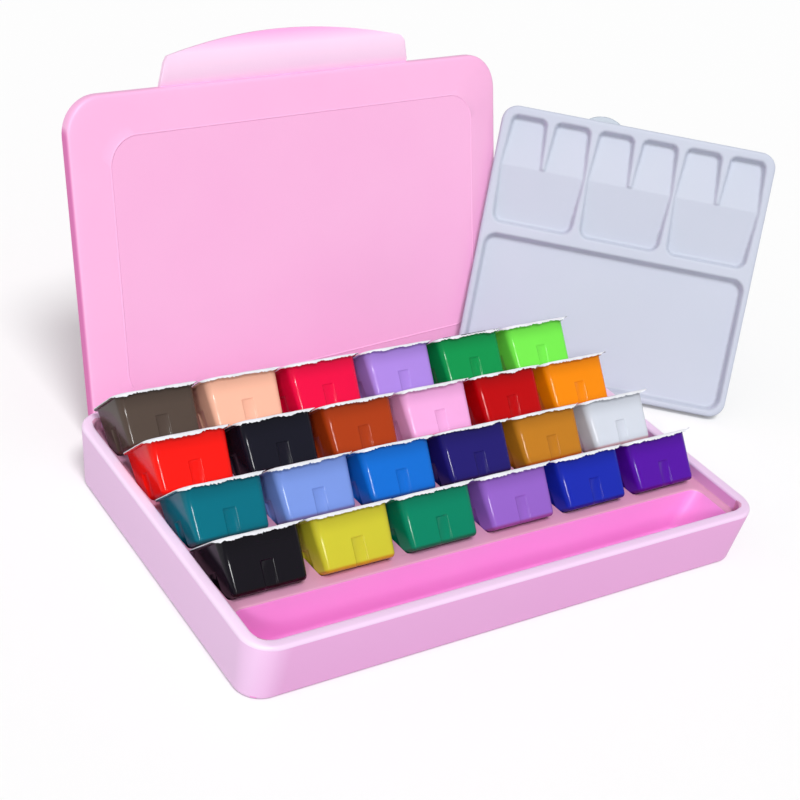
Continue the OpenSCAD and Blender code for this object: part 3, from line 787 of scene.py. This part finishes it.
def hollow_at(u, v):
    """How far a point of the palette lies inside a hollow, and how deep the hollow is there."""
    if v > BAY_END:
        share = min((v - BAY_END) / (BAY_TOP - BAY_END), 1.0)
        half = (BAY_PITCH - RIB_MIN - (RIB_W - RIB_MIN) * share) / 2
        inside = max(into_box(u - side * BAY_PITCH / 2, v, half, BAY_END - PAST_RIDGE, BAY_TOP, BAY_R)
                     for side in (-5, -3, -1, 1, 3, 5))
    elif v > WELL_END - 3:
        share = min((BAY_END - v) / (BAY_END - WELL_END), 1.0)
        half = BAY_PITCH - (RIB_MIN + (RIB_W - RIB_MIN) * share) / 2
        inside = max(into_box(u - side * 2 * BAY_PITCH, v, half, WELL_END, BAY_END + PAST_RIDGE, WELL_R)
                     for side in (-1, 0, 1))
    else:
        return into_box(u, v, PALETTE_W / 2 - BORDER, BORDER, MIX_TOP, MIX_R), WELL_DEPTH
    return inside, RIDGE_DEPTH + (WELL_DEPTH - RIDGE_DEPTH) * share


def palette_height(u, v):
    """Height of the palette's face over the table when it lies flat."""
    inside, depth = hollow_at(u, v)
    floor = PALETTE_H - depth
    wall = PALETTE_H - (inside - 0.2) * WELL_DEPTH / WALL_SLOPE
    lip = 0.5 * (wall + PALETTE_H - math.sqrt((wall - PALETTE_H) ** 2 + EDGE_BLEND))
    if inside > 0 or lip < PALETTE_H - 0.01:
        return 0.5 * (lip + floor + math.sqrt((lip - floor) ** 2 + FLOOR_BLEND))
    return lip


def palette_point(along_u, along_v):
    """A point of the face's grid, drawn in from a square corner to the palette's round one."""
    u = (along_u - 0.5) * (PALETTE_W - 2 * GRID_EDGE)
    v = GRID_EDGE + along_v * (PALETTE_L - 2 * GRID_EDGE)
    cu, cv = PALETTE_W / 2 - PALETTE_CORNER, PALETTE_L / 2 - PALETTE_CORNER
    du, dv = abs(u) - cu, abs(v - PALETTE_L / 2) - cv
    if du > 0 and dv > 0:
        pull = max(du, dv) / math.hypot(du, dv)
        u = math.copysign(cu + du * pull, u)
        v = PALETTE_L / 2 + math.copysign(cv + dv * pull, v - PALETTE_L / 2)
    return u, v


# (outwards, height) round the palette's outer edge, from the face over and back under the sheet
EDGE_PROFILE = [(1.4, PALETTE_H - 0.05), (2.2, PALETTE_H - 0.35), (2.75, PALETTE_H - 1.0),
                (2.9, PALETTE_H - 2.0), (3.0, 0.3), (2.8, 0.0), (1.8, 0.0), (1.6, 0.3),
                (1.4, PALETTE_H - 2.2), (1.0, PALETTE_H - 1.6)]


def make_palette():
    mesh = bmesh.new()
    step = 0.88
    nu, nv = int((PALETTE_W - 2 * GRID_EDGE) / step), int((PALETTE_L - 2 * GRID_EDGE) / step)
    grid = [[palette_point(i / nu, j / nv) for j in range(nv + 1)] for i in range(nu + 1)]
    layers = []
    for drop in (0.0, SHEET_T):
        layer = []
        for column in grid:
            heights = [max(palette_height(u, v) - drop, LEAST_Z) for u, v in column]
            layer.append([mesh.verts.new(Vector((u, v, z)) * MM) for (u, v), z in zip(column, heights)])
        for i in range(nu):
            for j in range(nv):
                quad = (layer[i][j], layer[i + 1][j], layer[i + 1][j + 1], layer[i][j + 1])
                mesh.faces.new(quad if drop == 0 else quad[::-1])
        layers.append(layer)
    border = grid_border(nu, nv)
    normals = []
    for k in range(len(border)):
        a, b = border[k - 1], border[(k + 1) % len(border)]
        t = Vector(grid[b[0]][b[1]]) - Vector(grid[a[0]][a[1]])
        normals.append(Vector((t.y, -t.x)).normalized())
    previous = [layers[0][i][j] for i, j in border]
    for out, z in EDGE_PROFILE:
        ring = []
        for (i, j), normal in zip(border, normals):
            at = Vector(grid[i][j]) + normal * out
            ring.append(mesh.verts.new(Vector((at.x, at.y, z)) * MM))
        join_rings(mesh, previous, ring)
        previous = ring
    join_rings(mesh, previous, [layers[1][i][j] for i, j in border])
    bmesh.ops.recalc_face_normals(mesh, faces=mesh.faces)
    soften(mesh, angle=60)
    make_piece("palette_moulding", mesh, [PALETTE_WHITE], "palette", PALETTE_PLACE,
               nodes=["palette"])


def make_tab():
    """The small tab behind the palette's top edge, the end of a flat disc."""
    mesh = bmesh.new()
    steps, low, tucked_in = 36, TAB_REACH - TAB_R, -1.2
    outline = []
    for i in range(steps + 1):
        a = math.pi * i / steps
        x, y = TAB_R * math.cos(a), TAB_R * math.sin(a) + low
        if y > tucked_in:
            outline.append((x + TAB_X, PALETTE_L + y))
    rings = []
    for z, pull in ((0.1, 0.4), (0.5, 0), (1.1, 0), (1.5, 0.4)):
        rings.append([(x + (TAB_X - x) * pull / TAB_R, y + (PALETTE_L + low - y) * pull / TAB_R, z)
                      for x, y in outline])
    loops = loft(mesh, rings)
    cap(mesh, loops[0], False)
    cap(mesh, loops[-1], True)
    bmesh.ops.recalc_face_normals(mesh, faces=mesh.faces)
    soften(mesh, angle=40)
    make_piece("palette_thumb_tab", mesh, [PALETTE_TAB_PAINTED_SHADE], "palette", PALETTE_PLACE)


make_palette()
make_tab()

# ---------- Studio ----------
# The floor: the share of plain white in what is seen of it, the grey that bounces light
# onto the pieces, and the near white that the camera and reflections see
FLOOR_GLOW, FLOOR_BOUNCE, FLOOR_SEEN = 0.02, 0.6, 0.93
FLOOR_HALF, FLOOR_Z, SKY_LIGHT = 15, -0.0002, 0.42
# Towards each lamp, its spread in degrees and its strength
KEY_SUN = ((-0.15, -0.5, 0.85), 18, 1.75)
GLINT_SUN = ((-0.563, -0.663, 0.492), 9, 1.05)


def floor_white():
    """Matt white that shows its own tone to the camera and in gloss, and bounces less light."""
    material, nodes, link = new_material("floor_white")
    shader = nodes["Principled BSDF"]
    shader.inputs["Roughness"].default_value = 1.0
    shader.inputs["Specular IOR Level"].default_value = 0.0
    path, white = nodes.new("ShaderNodeLightPath"), nodes.new("ShaderNodeEmission")
    white.inputs["Strength"].default_value = 1.0
    seen = path.outputs["Is Camera Ray"]
    for ray in ("Is Glossy Ray", "Is Transmission Ray"):
        either = nodes.new("ShaderNodeMath")
        either.operation = "MAXIMUM"
        link(seen, either.inputs[0])
        link(path.outputs[ray], either.inputs[1])
        seen = either.outputs[0]
    link(mix_colours(nodes, link, seen, [FLOOR_BOUNCE] * 3 + [1], [FLOOR_SEEN] * 3 + [1]),
         shader.inputs["Base Color"])
    blend = nodes.new("ShaderNodeMixShader")
    link(part_of(nodes, link, seen, FLOOR_GLOW), blend.inputs[0])
    link(shader.outputs[0], blend.inputs[1])
    link(white.outputs[0], blend.inputs[2])
    link(blend.outputs[0], nodes["Material Output"].inputs["Surface"])
    return material


def make_floor():
    mesh = bmesh.new()
    bmesh.ops.create_grid(mesh, x_segments=1, y_segments=1, size=FLOOR_HALF)
    data = bpy.data.meshes.new("floor")
    mesh.to_mesh(data)
    mesh.free()
    data.materials.append(floor_white())
    floor = bpy.data.objects.new("floor", data)
    floor.location = (0, 0, FLOOR_Z)
    bpy.context.scene.collection.objects.link(floor)


def add_sun(name, towards, spread, strength):
    lamp = bpy.data.lights.new(name, "SUN")
    lamp.angle, lamp.energy = math.radians(spread), strength
    lit = bpy.data.objects.new(name, lamp)
    lit.location = Vector(towards)
    lit.rotation_euler = Vector(towards).to_track_quat("Z", "Y").to_euler()
    bpy.context.scene.collection.objects.link(lit)


def light_studio():
    scene = bpy.context.scene
    scene.view_settings.view_transform = "Standard"
    world = bpy.data.worlds.new("studio")
    scene.world = world
    world.use_nodes = True
    soft = world.node_tree.nodes["Background"]
    soft.inputs["Color"].default_value = (1, 1, 1, 1)
    soft.inputs["Strength"].default_value = SKY_LIGHT
    add_sun("key_sun", *KEY_SUN)
    add_sun("glint_sun", *GLINT_SUN)


make_floor()
light_studio()

bpy.context.view_layer.update()
